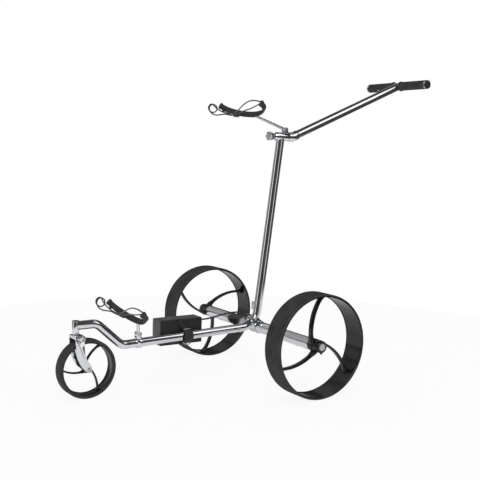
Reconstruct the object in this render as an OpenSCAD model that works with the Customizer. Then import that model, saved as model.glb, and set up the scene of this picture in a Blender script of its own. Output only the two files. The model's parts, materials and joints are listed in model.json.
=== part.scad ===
// Electric golf trolley: three wheels, one bent mast, plug-in front tube, T handle.
// Units are millimetres. +Z is up, the front of the trolley is -Y, its left side is +X.
// The origin is on the ground, at the centre of the whole trolley's footprint box.

/* [Wheels] */
// diameter over the tread of the driven rear wheels
rear_wheel_d = 300; // [290:2:310]
// width of the rear tread
rear_tread_w = 71; // [60:1:74]
// diameter over the tread of the front wheel
front_wheel_d = 166; // [160:1:168]
// distance between the middles of the two rear treads
track = 591; // [586:1:600]
// rear axle to front axle, along the trolley
wheelbase = 568; // [560:1:580]

/* [Frame] */
// outside diameter of mast, front tube and handle tube
tube_d = 25; // [24:0.5:25]
// outside diameter of the axle tube
axle_tube_d = 35; // [34:0.5:36]
// height of the handle joint above the ground
joint_z = 740; // [700:5:780]
// backward lean of the mast in degrees
mast_lean = 7.3; // [5:0.1:9]

/* [Handle] */
// height of the crossbar
bar_z = 923; // [900:1:940]
// rear axle to crossbar, along the trolley
bar_y = 550; // [500:5:580]
// half the width of the crossbar over its grips
bar_half = 142; // [135:1:160]
// diameter of the grips
grip_d = 29; // [27:0.5:31]

/* [Battery] */
// battery length along the trolley
battery_l = 140; // [130:1:140]
// battery thickness across the trolley
battery_w = 50; // [46:1:54]
// battery height
battery_h = 75; // [75:1:80]

/* [Hidden] */
$fn = 64;

gap = 0.05;
tube_r = tube_d / 2;
wall = 1.5;
bore_r = tube_r - wall;
knee_bend = 60;
nose_bend = 35;
handle_bend = 40;
elbow_lap = 1;
elbow_swell = 0.05;
axle_r = axle_tube_d / 2;
axle_wall = 2;
axle_half = 280;
axle_z = rear_wheel_d / 2;
under_screws = [-256, -210, -8, 210, 256];
rear_r = rear_wheel_d / 2;
front_r = front_wheel_d / 2;
wheel_x = track / 2;
flange_r = 16.5;
// all lengths along Y below are counted from the rear axle, which sits at axle_y
axle_y = (wheelbase + front_r - bar_y - flange_r) / 2;

// corners of the two bent tubes, as [y, z]
knee = [-5, axle_z + 2.3];
front_low = [-462, axle_z - 13];
front_high = [-538, axle_z + 55.5];
head_y = -599.5;
front_end = [head_y, axle_z + 55];
joint_y = knee[0] + (joint_z - knee[1]) * tan(mast_lean);
front_dir = (knee - front_low) / norm(knee - front_low);
sleeve_end = knee - front_dir * 55;
spigot_bore_r = bore_r - wall;
snap_at = sleeve_end - front_dir * 14;
bar_at = [bar_y, bar_z];
handle_corner = [joint_y + 44, joint_z];
head_back = joint_y + 27.5;
head_front = joint_y - 24.5;
head_r = 13.4;
stub_r = bore_r - gap;

// bag bracket joints and arm seats, as [y, z]
upper_pin = [joint_y + 15.5, joint_z + 22];
upper_seat = [joint_y - 101.5, joint_z + 60];
upper_tilt = 30;
lower_pin = [-410, front_low[1] + (-410 - front_low[0]) * front_dir[1] / front_dir[0] + 24.5];
lower_seat = [-411, lower_pin[1] + 36];
lower_tilt = 47;
arm_t = 5;
arm_w = 18;
mid_rad = 195;
end_rad = 50;
mid_deg = 25.5;
end_deg = 92;

// battery box beside the front tube
batt_x1 = -14;
batt_x0 = batt_x1 - battery_w;
batt_y0 = -331;
batt_y1 = batt_y0 + battery_l;
batt_z0 = axle_z - 33;
batt_z1 = batt_z0 + battery_h;
lid_h = 8;
strap_y = -256;
strap_w = 22;
strap_reach = 26;
cord_r = 2;
cable_r = 2.6;
// middle of the plug and its socket beside the knee, as [y, z]
plug_at = [-16, axle_z + 25];

function tube_z(y) = front_low[1] + (y - front_low[0]) * front_dir[1] / front_dir[0];
function unit(v) = v / norm(v);
function heading(a, b) = atan2(b[1] - a[1], b[0] - a[0]);
function turn(p, i) = heading(p[i], p[i + 1]) - heading(p[i - 1], p[i]);
function trim(p, i, r) = i == 0 || i == len(p) - 1 ? 0 : r * tan(abs(turn(p, i)) / 2);

// colours of the real finishes
chrome = [0.80, 0.81, 0.83];
steel = [0.62, 0.63, 0.65];
black = [0.07, 0.07, 0.08];
rubber = [0.10, 0.10, 0.11];
silver = [0.72, 0.72, 0.74];
board = [0.10, 0.35, 0.18];

// ---- shared shapes -------------------------------------------------------

// moves a shape from the rear axle's own Y zero to its place on the trolley
module at_axle() { translate([0, axle_y, 0]) children(); }

// turns a drawing in X and Y into one in Y and Z that is extruded along X
module side_view() { rotate([90, 0, 90]) children(); }

module xcyl(x0, x1, y, z, r) {
    translate([x0, y, z]) rotate([0, 90, 0]) cylinder(h = x1 - x0, r = r);
}

module ycyl(y0, y1, z, r) {
    translate([0, y0, z]) rotate([-90, 0, 0]) cylinder(h = y1 - y0, r = r);
}

// rod from one [y, z] point to another in the plane x = 0
module rod(a, b, r) {
    translate([0, a[0], a[1]]) rotate([heading(a, b) - 90, 0, 0])
        cylinder(h = norm(b - a), r = r);
}

module ring(h, ro, ri) {
    difference() {
        cylinder(h = h, r = ro);
        translate([0, 0, -1]) cylinder(h = h + 2, r = ri);
    }
}

// straight rods along a path in the plane x = 0, joined by slightly fuller elbows;
// past is how far the rod runs on at both free ends
module bent_rod(p, bend, r, past) {
    last = len(p) - 2;
    for (i = [0:last]) {
        d = unit(p[i + 1] - p[i]);
        a = p[i] + d * (i == 0 ? -past : trim(p, i, bend) - elbow_lap);
        b = p[i + 1] + d * (i == last ? past : elbow_lap - trim(p, i + 1, bend));
        rod(a, b, r);
        if (i < last) elbow(p, i + 1, p[i + 1] - d * trim(p, i + 1, bend), d, bend, r + elbow_swell);
    }
}

module elbow(p, i, start, d, bend, r) {
    left = turn(p, i) > 0 ? 1 : -1;
    c = start + left * bend * [-d[1], d[0]];
    first = left > 0 ? heading(c, start) : heading(c, start) - abs(turn(p, i));
    translate([0, c[0], c[1]]) side_view() rotate([0, 0, first])
        rotate_extrude(angle = abs(turn(p, i))) translate([bend, 0]) circle(r = r);
}

module bent(p, bend, ro, ri) {
    difference() {
        bent_rod(p, bend, ro, 0);
        bent_rod(p, bend, ri, 1);
    }
}

rear_path = [sleeve_end, knee, [joint_y, joint_z]];
front_path = [front_end, front_high, front_low, sleeve_end];
handle_path = [[head_back + 0.2, joint_z], handle_corner, bar_at];

module rear_tube_solid() { bent_rod(rear_path, knee_bend, tube_r, 0); }

// ---- rear frame ----------------------------------------------------------

module rear_frame_tube() color(chrome) at_axle() difference() {
    union() {
        bent(rear_path, knee_bend, tube_r, bore_r);
        // reduced spigot that the front tube slides over, and its root inside the rear tube
        rod_ring(sleeve_end - front_dir * 62, sleeve_end + front_dir * 3, bore_r - gap, spigot_bore_r);
        rod_ring(sleeve_end, sleeve_end + front_dir * 3, bore_r + 0.5, spigot_bore_r);
    }
    ycyl(head_front - 5, head_back + 5, joint_z, head_r);
    xcyl(0, 20, snap_at[0], snap_at[1], 4.4);
}

module rod_ring(a, b, ro, ri) {
    translate([0, a[0], a[1]]) rotate([heading(a, b) - 90, 0, 0]) ring(norm(b - a), ro, ri);
}

module axle_tube() color(chrome) at_axle() difference() {
    xcyl(-axle_half, axle_half, 0, axle_z, axle_r);
    xcyl(-axle_half - 1, axle_half + 1, 0, axle_z, axle_r - axle_wall);
    rear_tube_solid();
    for (x = under_screws) screw_hole(x);
}

module screw_hole(x) {
    translate([x, 0, axle_z - axle_r - 3]) cylinder(h = 8, r = 2.1);
}

// plates welded on both sides of the knee, down to the axle tube
module axle_cheeks() color(chrome) at_axle() for (s = [-1, 1]) {
    x0 = s > 0 ? tube_r + 0.1 : -tube_r - 4.1;
    difference() {
        translate([x0, 0, 0]) side_view() linear_extrude(4) difference() {
            union() {
                translate([0, axle_z]) circle(r = axle_r + 3);
                translate([knee[0] - 11.5, axle_z + 23]) circle(r = 11);
                polygon([[0, axle_z], [-20.5, axle_z], [-27.2, axle_z + 21], [-8, axle_z + 32],
                    [8, axle_z + 18]]);
            }
            translate([0, axle_z]) circle(r = axle_r);
        }
        xcyl(-30, 0, plug_at[0], plug_at[1], 7.05);
        xcyl(0, 30, plug_at[0], plug_at[1], 2.1);
    }
}

module power_socket() color(silver) at_axle() difference() {
    union() {
        xcyl(-18, -6, plug_at[0], plug_at[1], 7);
        xcyl(-19.5, -18, plug_at[0], plug_at[1], 4);
    }
    rear_tube_solid();
}

// round head and shank of one frame screw, standing on the local XY plane
module frame_screw() {
    translate([0, 0, -3.9]) cylinder(h = 4.4, r = 2);
    cylinder(h = 1.2, r = 3.6);
    translate([0, 0, 1.2]) cylinder(h = 1.2, r1 = 3.6, r2 = 2.4);
}

module frame_screws() color(steel) at_axle() {
    for (x = under_screws) translate([x, 0, axle_z - axle_r]) rotate([180, 0, 0]) frame_screw();
    translate([tube_r + 4.1, plug_at[0], plug_at[1]]) rotate([0, 90, 0]) frame_screw();
}

module mast_tab() color(silver) at_axle() difference() {
    translate([-3, -20, axle_z + 55]) cube([6, 16, 24]);
    rear_tube_solid();
}

module controller_board() at_axle() {
    translate([0, knee[0], knee[1]]) rotate([-mast_lean, 0, 0]) {
        color(board) translate([-8, -0.8, 180]) cube([16, 1.6, 130]);
        color(black) for (i = [0:4]) translate([-5, 0.6, 190 + 24 * i]) cube([10, 3, 14]);
    }
}

module mast_head() color(chrome) at_axle() difference() {
    union() {
        ycyl(head_front + 7, head_back, joint_z, head_r);
        translate([0, head_front + 7, joint_z]) rotate([90, 0, 0]) cylinder(h = 7, r1 = head_r, r2 = 8.5);
        // two ears of the upper bag bracket hinge
        for (s = [-1, 1]) translate([s > 0 ? 4.6 : -8.6, 0, 0]) side_view() linear_extrude(4)
            union() {
                translate(upper_pin) circle(r = 6.5);
                translate([upper_pin[0] - 6.5, joint_z + 8]) square([13, upper_pin[1] - joint_z - 8]);
            }
    }
    ycyl(head_front + 14, head_back + 1, joint_z, bore_r);
    ycyl(head_front - 1, head_front + 20, joint_z, 4 + gap);
    xcyl(-12, 12, upper_pin[0], upper_pin[1], 2.5 + gap);
}

module pin_bolt(at, half, r, head) {
    xcyl(-half, half, at[0], at[1], r);
    xcyl(half, half + 2.5, at[0], at[1], head);
    translate([-half, at[0], at[1]]) rotate([0, -90, 0]) cylinder(h = 2.5, r = head, $fn = 6);
}

module upper_hinge_bolt() color(steel) at_axle() pin_bolt(upper_pin, 8.7, 2.5, 4.2);

// ---- front tube ----------------------------------------------------------

module front_tube() color(chrome) at_axle() difference() {
    union() {
        bent(front_path, nose_bend, tube_r, bore_r);
        rod_ring(sleeve_end - front_dir * 5, sleeve_end, tube_r + 0.9, tube_r - 0.7);
    }
    translate([0, head_y, front_end[1] - 25]) cylinder(h = 50, r = 10);
    xcyl(0, 20, snap_at[0], snap_at[1], 4.4);
}

module head_tube() color(chrome) at_axle() translate([0, head_y, front_end[1] - 22]) difference() {
    cylinder(h = 36, r = 10);
    translate([0, 0, -1]) cylinder(h = 35, r = 8.2);
}

module stem_bearings() color(steel) at_axle() for (z = [-21.5, 3])
    translate([0, head_y, front_end[1] + z]) ring(7, 8.15, 5 + gap);

module snap_button() color(steel) at_axle() {
    y = snap_at[0];
    z = snap_at[1];
    xcyl(7, tube_r + 3, y, z, 4);
    xcyl(5.4, 7, y, z, 5.4);
}

// leaf that lies against the far wall of the spigot, clear of the pressed button
module snap_spring() color(steel) at_axle() translate([-8.6, snap_at[0], snap_at[1]])
    rotate([heading(front_low, knee), 0, 0]) translate([0, -20, -4]) cube([0.8, 40, 8]);

module lower_hinge_clamp() color(chrome) at_axle() difference() {
    union() {
        translate([0, lower_pin[0] - 8, tube_z(lower_pin[0] - 8)])
            rotate([heading(front_low, knee) - 90, 0, 0]) cylinder(h = 16, r = tube_r + 3);
        for (s = [-1, 1]) translate([s > 0 ? 5.2 : -9.2, 0, 0]) side_view() linear_extrude(4)
            union() {
                translate(lower_pin) circle(r = 8.2);
                translate([lower_pin[0] - 7, lower_pin[1] - 15]) square([14, 15]);
            }
    }
    rod(front_low, sleeve_end, tube_r + gap);
    xcyl(-20, 20, lower_pin[0], lower_pin[1], 3 + gap);
}

module lower_hinge_bolt() color(steel) at_axle() pin_bolt(lower_pin, 9.3, 3, 5);

// ---- battery -------------------------------------------------------------

module battery_case() color(black) at_axle() difference() {
    union() {
        difference() {
            translate([batt_x0, batt_y0, batt_z0]) cube([battery_w, battery_l, battery_h - lid_h]);
            translate([batt_x0 + 2.5, batt_y0 + 2.5, batt_z0 + 2.5])
                cube([battery_w - 5, battery_l - 5, battery_h]);
        }
        // saddles that rest on the side of the front tube
        for (y = [batt_y0 + 12, batt_y1 - 30]) translate([batt_x1 - 1, y, tube_z(y) - 12])
            cube([8, 18, 24]);
        // cable gland
        translate([batt_x0 + 24, batt_y1 - 1, batt_z1 - 13]) rotate([-90, 0, 0]) cylinder(h = 9, r = 4.8);
    }
    rod(front_low, sleeve_end, tube_r + gap);
}

module battery_lid() color(black) at_axle() {
    translate([batt_x0, batt_y0, batt_z1 - lid_h]) difference() {
        cube([battery_w, battery_l, lid_h]);
        translate([2.5, 2.5, -1]) cube([battery_w - 5, battery_l - 5, lid_h - 1.5]);
    }
}

module battery_cells() color([0.20, 0.42, 0.62]) at_axle() for (i = [0:6], j = [0:1])
    translate([batt_x0 + battery_w / 2 + (j - 0.5) * 18.6, batt_y0 + battery_l / 2 + (i - 3) * 18.6,
        batt_z0 + 3]) cylinder(h = 64, r = 9.1);

// one flat outline of the strap loop round the front tube, as [x, z] from the tube's middle
function strap_edge(r, x0, reach) = concat([[x0, reach]],
    [for (a = [60:-10:-60]) r * [cos(a), sin(a)]], [[x0, -reach]]);

module battery_strap() color(black) at_axle() translate([0, strap_y + strap_w / 2, tube_z(strap_y)])
    rotate([90, 0, 0]) linear_extrude(strap_w) difference() {
        polygon(strap_edge(tube_r + 2.6, batt_x1 + 0.1, strap_reach));
        polygon(strap_edge(tube_r + 0.6, batt_x1 - 1, strap_reach - 2.4));
    }

// wire loops on the case that the strap is threaded through
module strap_rings() color(steel) at_axle() for (s = [-1, 1])
    translate([batt_x1, strap_y - strap_w / 2 - 3, tube_z(strap_y) + s * (strap_reach + 2) - 1])
        difference() {
            cube([6, strap_w + 6, 2]);
            translate([-1, 2, -1]) cube([5.2, strap_w + 2, 4]);
        }

module battery_plug() color(black) at_axle() difference() {
    union() {
        xcyl(-34, -18.1, plug_at[0], plug_at[1], 11);
        translate([-26, plug_at[0], plug_at[1]]) rotate([58, 0, 0]) cylinder(h = 17, r = 4);
    }
    xcyl(-20, -17, plug_at[0], plug_at[1], 4.1);
}

// cable from the gland to the plug, as [x, y, z] points of its middle line
cable_points = [[-40, -183, 179], [-40, -172, 179], [-38, -152, 181], [-35, -130, 185], [-33, -107, 189.5],
    [-30, -84, 193], [-28, -64, 194], [-26.5, -48, 192.5], [-26, -38.4, 189], [-26, -30.4, 184]];

module battery_cable() color(rubber) at_axle() translate([0, 0, axle_z - 150]) sweep(cable_points, cable_r, 8);

// plain tube along a list of points
function cross_unit(a, b) = unit(cross(a, b));
function tangent(p, i) = unit(p[min(i + 1, len(p) - 1)] - p[max(i - 1, 0)]);
function side_of(t) = cross_unit(t, abs(t[2]) > 0.9 ? [1, 0, 0] : [0, 0, 1]);
function hoop(p, i, r, n) = let (t = tangent(p, i), u = side_of(t), v = cross(t, u))
    [for (k = [0:n - 1]) p[i] + r * (cos(360 * k / n) * u + sin(360 * k / n) * v)];

module sweep(p, r, n) {
    m = len(p);
    pts = [for (i = [0:m - 1]) each hoop(p, i, r, n)];
    walls = [for (i = [0:m - 2], k = [0:n - 1])
        [i * n + k, i * n + (k + 1) % n, (i + 1) * n + (k + 1) % n, (i + 1) * n + k]];
    ends = [[for (k = [0:n - 1]) n - 1 - k], [for (k = [0:n - 1]) (m - 1) * n + k]];
    polyhedron(points = pts, faces = concat(walls, ends));
}

// ---- handle --------------------------------------------------------------

module handle_tube() color(chrome) at_axle() difference() {
    bent(handle_path, handle_bend, tube_r, bore_r);
    xcyl(-20, 20, bar_y, bar_z, tube_r);
}

module handle_stub() color(steel) at_axle() difference() {
    ycyl(head_front + 14.4, head_back + 6, joint_z, stub_r);
    ycyl(head_front + 10, head_back + 10, joint_z, 4 + gap);
}

module handle_crossbar() color(chrome) at_axle() difference() {
    xcyl(-bar_half + 5, bar_half - 5, bar_y, bar_z, tube_r);
    xcyl(-bar_half, bar_half, bar_y, bar_z, bore_r);
    translate([-84, bar_y, bar_z - 20]) cylinder(h = 20, r = 4.2);
}

module grip(x0, x1, inner) {
    difference() {
        union() {
            xcyl(min(x0, x1), max(x0, x1), bar_y, bar_z, grip_d / 2);
            xcyl(min(x0, x0 + inner), max(x0, x0 + inner), bar_y, bar_z, flange_r);
        }
        xcyl(min(x0, x1) - 1, max(x0, x1) + 1, bar_y, bar_z, tube_r + gap);
    }
}

module grip_left() color(rubber) at_axle() grip(14, bar_half - 10, 8);

module grip_right() color(rubber) at_axle() difference() {
    grip(-14, 10 - bar_half, -8);
    translate([-84, bar_y, bar_z - 30]) cylinder(h = 30, r = 12.5);
}

module grip_rings() color(chrome) at_axle() for (s = [-1, 1])
    translate([s > 0 ? bar_half - 9.9 : 5 - bar_half, bar_y, bar_z]) rotate([0, 90, 0])
        ring(4.9, grip_d / 2 + 0.2, tube_r + gap);

module grip_caps() color(black) at_axle() for (s = [-1, 1]) {
    xcyl(s > 0 ? bar_half - 4.9 : -bar_half + 2, s > 0 ? bar_half - 2 : 4.9 - bar_half, bar_y, bar_z, 13.6);
    translate([s * (bar_half - 2), bar_y, bar_z]) rotate([0, s * 90, 0]) cylinder(h = 2, r1 = 13.6, r2 = 11);
    xcyl(s > 0 ? bar_half - 15 : 4.9 - bar_half, s > 0 ? bar_half - 4.9 : 15 - bar_half, bar_y, bar_z,
        bore_r - 0.1);
}

module speed_pot() color(steel) at_axle() translate([-84, bar_y, bar_z]) {
    translate([0, 0, -7]) cylinder(h = 12, r = 8);
    translate([0, 0, -21]) cylinder(h = 15, r = 3);
}

module speed_knob() color(silver) at_axle() translate([-84, bar_y, bar_z]) difference() {
    union() {
        translate([0, 0, -22.5]) cylinder(h = 8.5, r = 11);
        for (i = [0:11]) rotate([0, 0, 30 * i]) translate([11, 0, -22.5]) cylinder(h = 8.5, r = 0.9, $fn = 24);
    }
    translate([0, 0, -21.4]) cylinder(h = 20, r = 3 + gap);
}

// ---- clamp knob ----------------------------------------------------------

module star_knob() color(chrome) at_axle() difference() {
    union() {
        ycyl(head_front - 24, head_front - 0.4, joint_z, 9.2);
        for (i = [0:5]) translate([0, 0, joint_z]) rotate([0, 60 * i + 30, 0]) translate([0, 0, 10])
            ycyl(head_front - 24, head_front - 5, 0, 5);
    }
    ycyl(head_front - 18, head_front + 1, joint_z, 4 + gap);
}

module clamp_bolt() color(steel) at_axle() ycyl(head_front - 17.5, head_front + 36, joint_z, 4);

// ---- bag brackets --------------------------------------------------------

// puts an arm drawn in its own plane (x across, y outward) on its seat
module on_seat(seat, tilt) {
    translate([0, seat[0], seat[1]]) rotate([-tilt, 0, 0]) rotate([0, 0, 180]) children();
}

mid_end = [mid_rad * sin(mid_deg), 6 + mid_rad * (1 - cos(mid_deg))];
end_centre = mid_end + end_rad * [-sin(mid_deg), cos(mid_deg)];
tip = end_centre + end_rad * [sin(end_deg), -cos(end_deg)];

module band(r, a, sweep_a) {
    rotate([0, 0, a]) rotate_extrude(angle = sweep_a)
        translate([r - arm_t / 2, -arm_w / 2]) square([arm_t, arm_w]);
}

module arm_shape() {
    difference() {
        union() {
            translate([0, 6 + mid_rad, 0]) band(mid_rad, -90 - mid_deg, 2 * mid_deg);
            for (s = [0, 1]) mirror([s, 0, 0]) {
                translate([end_centre[0], end_centre[1], 0])
                    band(end_rad, mid_deg - 90, end_deg - mid_deg);
                translate([tip[0], tip[1], -arm_w / 2]) cylinder(h = arm_w, r = 5.5);
            }
            translate([-9, -1, -8]) cube([18, 9, 16]);
            // knob on the far arm that the cord can be hooked on
            translate([mid_end[0] - 4, mid_end[1] - 7, 5]) sphere(r = 9);
        }
        for (s = [-1, 1]) translate([s * tip[0], tip[1], -arm_w]) cylinder(h = 2 * arm_w, r = 2.4);
    }
}

// bracket rod with its hinge eye; the far end stops at the arm's seat block
module bracket_rod(pin, seat, r, eye_r, half, bolt_r) {
    difference() {
        union() {
            xcyl(-half, half, pin[0], pin[1], eye_r);
            rod(pin, seat, r);
        }
        xcyl(-half - 1, half + 1, pin[0], pin[1], bolt_r + gap);
    }
}

module upper_rod() color(chrome) at_axle() difference() {
    bracket_rod(upper_pin, upper_seat, 4.3, 6, 4.3, 2.5);
    on_seat(upper_seat, upper_tilt) translate([-10, -1, -10]) cube([20, 20, 20]);
}

module upper_arm() color(rubber) at_axle() on_seat(upper_seat, upper_tilt) arm_shape();

module lower_post() color(chrome) at_axle() difference() {
    bracket_rod(lower_pin, lower_seat, 4.9, 7.5, 4.9, 3);
    on_seat(lower_seat, lower_tilt) translate([-10, -1, -10]) cube([20, 20, 20]);
}

module lower_arm() color(rubber) at_axle() on_seat(lower_seat, lower_tilt) arm_shape();

// elastic cord in the arm's own frame: from the near tip to the far tip, two hanging turns there,
// under the far arm, and back to the near tip
cord_points = [[106.5, 74, 5], [88, 81, 4], [64, 80, 3], [34, 73, 1], [4, 64, 0], [-32, 52, 0],
    [-68, 46, 6], [-96, 55, 13], [-112, 70, 15], [-123.5, 78, 9], [-128, 79, -5], [-128.5, 76, -17],
    [-126, 70, -23], [-121.5, 62.5, -24], [-118, 57, -19], [-118, 56, -9], [-119, 60, -1], [-123, 66, 3],
    [-129, 73, -2], [-133, 75, -13], [-131, 68, -24], [-125, 57, -27], [-112, 48, -21], [-100, 41, -14],
    [-86, 30, -13], [-62, 24, -9], [-36, 25, -2], [-10, 30, 0], [20, 40, 0], [50, 49, 1], [78, 58, 3],
    [98, 65, 4.5], [106.5, 69, 5]];

module cord(seat, tilt) on_seat(seat, tilt) mirror([1, 0, 0]) sweep(cord_points, cord_r, 8);

module upper_cord() color(rubber) at_axle() cord(upper_seat, upper_tilt);

module lower_cord() color(rubber) at_axle() cord(lower_seat, lower_tilt);

// ---- driven wheels, drawn on the left; the right one is its mirror image --

module wheel_side(s) { if (s > 0) children(); else mirror([1, 0, 0]) children(); }

// three curved spokes inside a rim of inner radius r, each an arc of radius blade_r
module spokes(r, blade_r, phase, thick, wide) {
    intersection() {
        union() for (i = [0:2]) rotate([0, 0, phase + 120 * i - 68.6]) translate([blade_r * 0.93, 0, 0])
            rotate([0, 0, 120]) rotate_extrude(angle = 60)
                translate([blade_r - thick / 2, -wide / 2]) square([thick, wide]);
        cylinder(h = wide + 2, r = r + 1, center = true);
    }
}

module drive_wheel(phase) {
    half = rear_tread_w / 2;
    translate([wheel_x, 0, axle_z]) side_view() difference() {
        union() {
            translate([0, 0, -half + 1]) ring(2 * half - 2, rear_r - 3.6, rear_r - 6.3);
            for (z = [-half + 0.5, half - 3.5]) translate([0, 0, z]) ring(3, rear_r - 3.6, rear_r - 7.6);
            spokes(rear_r - 6.3, 1.06 * rear_r, phase, 7, 18);
            translate([0, 0, -14.5]) cylinder(h = 20, r = 18.5);
            translate([0, 0, 5.5]) cylinder(h = 24, r = 17.5);
            translate([0, 0, 29.5]) cylinder(h = 3, r1 = 17.5, r2 = 15.5);
            // drive-lock lug under the hub
            rotate([0, 0, -90]) translate([16, -3, 25]) cube([6, 6, 6]);
        }
        translate([0, 0, -16]) cylinder(h = 40, r = 6 + gap);
        translate([0, 0, 21]) cylinder(h = 14, r = 10.2);
    }
}

module tyre() {
    half = rear_tread_w / 2;
    translate([wheel_x, 0, axle_z]) side_view() rotate_extrude() difference() {
        translate([rear_r - 3.5, -half]) polygon([[0, 0], [1.3, 0], [3.5, 5], [3.5, 2 * half - 5],
            [1.3, 2 * half], [0, 2 * half]]);
        for (i = [-2:2]) translate([rear_r - 1.6, i * 12.6 - 1.3]) square([3, 2.6]);
    }
}

module drive_shaft() {
    xcyl(186, axle_half + 36, 0, axle_z, 6);
    xcyl(186, 190, 0, axle_z, 9);
}

module release_button() {
    xcyl(wheel_x + 24.3, wheel_x + 33, 0, axle_z, 10);
    difference() {
        xcyl(wheel_x + 32.9, wheel_x + 34, 0, axle_z, 9.2);
        xcyl(wheel_x + 32, wheel_x + 35, 0, axle_z, 7);
    }
}

module motor() difference() {
    xcyl(64, 180, 0, axle_z, axle_r - axle_wall - gap);
    xcyl(68, 176, 0, axle_z, 13.2);
    xcyl(60, 184, 0, axle_z, 2.5 + gap);
}

module rotor() {
    xcyl(76, 168, 0, axle_z, 11.5);
    xcyl(62, 183.5, 0, axle_z, 2.5);
}

module gearbox() difference() {
    xcyl(181, 236, 0, axle_z, axle_r - axle_wall - gap);
    xcyl(185.5, 190.5, 0, axle_z, 9.3);
    xcyl(185, 240, 0, axle_z, 6 + gap);
    xcyl(180, 184, 0, axle_z, 2.5 + gap);
    screw_hole(210);
}

module axle_bearings() color(steel) at_axle() for (s = [-1, 1]) wheel_side(s)
    translate([262, 0, axle_z]) rotate([0, 90, 0]) ring(14, axle_r - axle_wall - gap, 6 + gap);

module wheel_left() color(black) at_axle() drive_wheel(84.7);
module wheel_right() color(black) at_axle() wheel_side(-1) drive_wheel(25.5);
module tyre_left() color(rubber) at_axle() tyre();
module tyre_right() color(rubber) at_axle() wheel_side(-1) tyre();
module drive_shaft_left() color(steel) at_axle() drive_shaft();
module drive_shaft_right() color(steel) at_axle() wheel_side(-1) drive_shaft();
module release_button_left() color(silver) at_axle() release_button();
module release_button_right() color(silver) at_axle() wheel_side(-1) release_button();
module motor_left() color(steel) at_axle() motor();
module motor_right() color(steel) at_axle() wheel_side(-1) motor();
module rotor_left() color([0.72, 0.45, 0.25]) at_axle() rotor();
module rotor_right() color([0.72, 0.45, 0.25]) at_axle() wheel_side(-1) rotor();
module gearbox_left() color(steel) at_axle() gearbox();
module gearbox_right() color(steel) at_axle() wheel_side(-1) gearbox();

// ---- front wheel ---------------------------------------------------------

crown_z0 = front_wheel_d + 4;
leg_in = 22;
leg_out = 26;

// side outline of one fork leg, as [y, z] from the front axle
leg_line = [[-40, 94], [-40, 54], [-36, 36], [-30, 24], [-23, 10], [-15, 0], [-8, -7.4], [0, -9], [7, -6],
    [9.5, 1], [9, 8], [4, 18], [-2, 28], [-8, 40], [-12, 54], [-13, 70], [-13, 94]];

module fork() color(chrome) at_axle() difference() {
    union() {
        for (x = [-leg_out, leg_in]) translate([x, -wheelbase, front_r]) side_view()
            linear_extrude(leg_out - leg_in) polygon(leg_line);
        translate([0, 13 - wheelbase - 26, 0]) rotate([90, 0, 0]) linear_extrude(27) difference() {
            union() {
                translate([-leg_out + 8, crown_z0 - 4]) square([2 * leg_out - 16, 12]);
                translate([-leg_out, crown_z0 - 4]) square([2 * leg_out, 4]);
                for (s = [-1, 1]) translate([s * (leg_out - 8), crown_z0]) circle(r = 8);
            }
            translate([-leg_in, crown_z0 - 20]) square([2 * leg_in, 20]);
        }
        // stem that turns in the head tube
        translate([0, head_y, crown_z0 + 4]) cylinder(h = front_end[1] - crown_z0 + 5, r = 5);
        translate([0, head_y, crown_z0 + 4]) cylinder(h = front_end[1] - crown_z0 - 26.4, r = 8);
    }
    xcyl(-30, 30, -wheelbase, front_r, 4 + gap);
    for (y = [-33, -18]) xcyl(-30, 30, y - wheelbase, front_r + 84, 1.6);
}

module fork_bolts() color(steel) at_axle() for (s = [-1, 1], y = [-33, -18])
    translate([s * leg_out, y - wheelbase, front_r + 84]) rotate([0, s * 90, 0]) {
        difference() {
            cylinder(h = 2.6, r = 3.6);
            translate([0, 0, 1]) cylinder(h = 3, r = 1.8, $fn = 6);
        }
        translate([0, 0, -7]) cylinder(h = 7.5, r = 1.5);
    }

module front_axle() color(steel) at_axle() {
    xcyl(-leg_out, leg_out, -wheelbase, front_r, 4);
    xcyl(leg_out, leg_out + 3, -wheelbase, front_r, 6);
    translate([-leg_out - 3, -wheelbase, front_r]) rotate([0, 90, 0]) cylinder(h = 3, r = 6, $fn = 6);
}

module front_wheel() color(black) at_axle() translate([0, -wheelbase, front_r]) side_view() difference() {
    union() {
        translate([0, 0, -17]) ring(34, front_r - 6.1, front_r - 10);
        for (z = [-17.5, 14.5]) translate([0, 0, z]) ring(3, front_r - 6.1, front_r - 11.2);
        spokes(front_r - 10, 1.064 * front_r, 57, 5, 11);
        translate([0, 0, -21]) cylinder(h = 42, r = 9);
        translate([0, 0, -9]) cylinder(h = 18, r = 12);
    }
    translate([0, 0, -25]) cylinder(h = 50, r = 4 + gap);
}

module front_tyre() color(rubber) at_axle() translate([0, -wheelbase, front_r]) side_view()
    rotate_extrude() difference() {
        translate([front_r - 6, -18]) polygon([[0, 0], [3, 0], [5.3, 2.5], [6, 6], [6, 30], [5.3, 33.5],
            [3, 36], [0, 36]]);
        for (i = [-1:1]) translate([front_r - 1.4, i * 9 - 1]) square([3, 2]);
    }

rear_frame_tube();
axle_tube();
axle_cheeks();
front_tube();
head_tube();
stem_bearings();
snap_spring();
mast_tab();
motor_left();
motor_right();
gearbox_left();
gearbox_right();
axle_bearings();
frame_screws();
power_socket();
controller_board();
mast_head();
upper_hinge_bolt();
lower_hinge_clamp();
lower_hinge_bolt();
battery_case();
battery_lid();
battery_cells();
strap_rings();
battery_strap();
battery_plug();
battery_cable();
handle_tube();
handle_stub();
handle_crossbar();
grip_left();
grip_right();
grip_rings();
grip_caps();
speed_pot();
speed_knob();
star_knob();
clamp_bolt();
snap_button();
upper_rod();
upper_arm();
upper_cord();
lower_post();
lower_arm();
lower_cord();
wheel_left();
tyre_left();
drive_shaft_left();
release_button_left();
wheel_right();
tyre_right();
drive_shaft_right();
release_button_right();
rotor_left();
rotor_right();
fork();
fork_bolts();
front_axle();
front_wheel();
front_tyre();
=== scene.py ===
import json
import math

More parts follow.
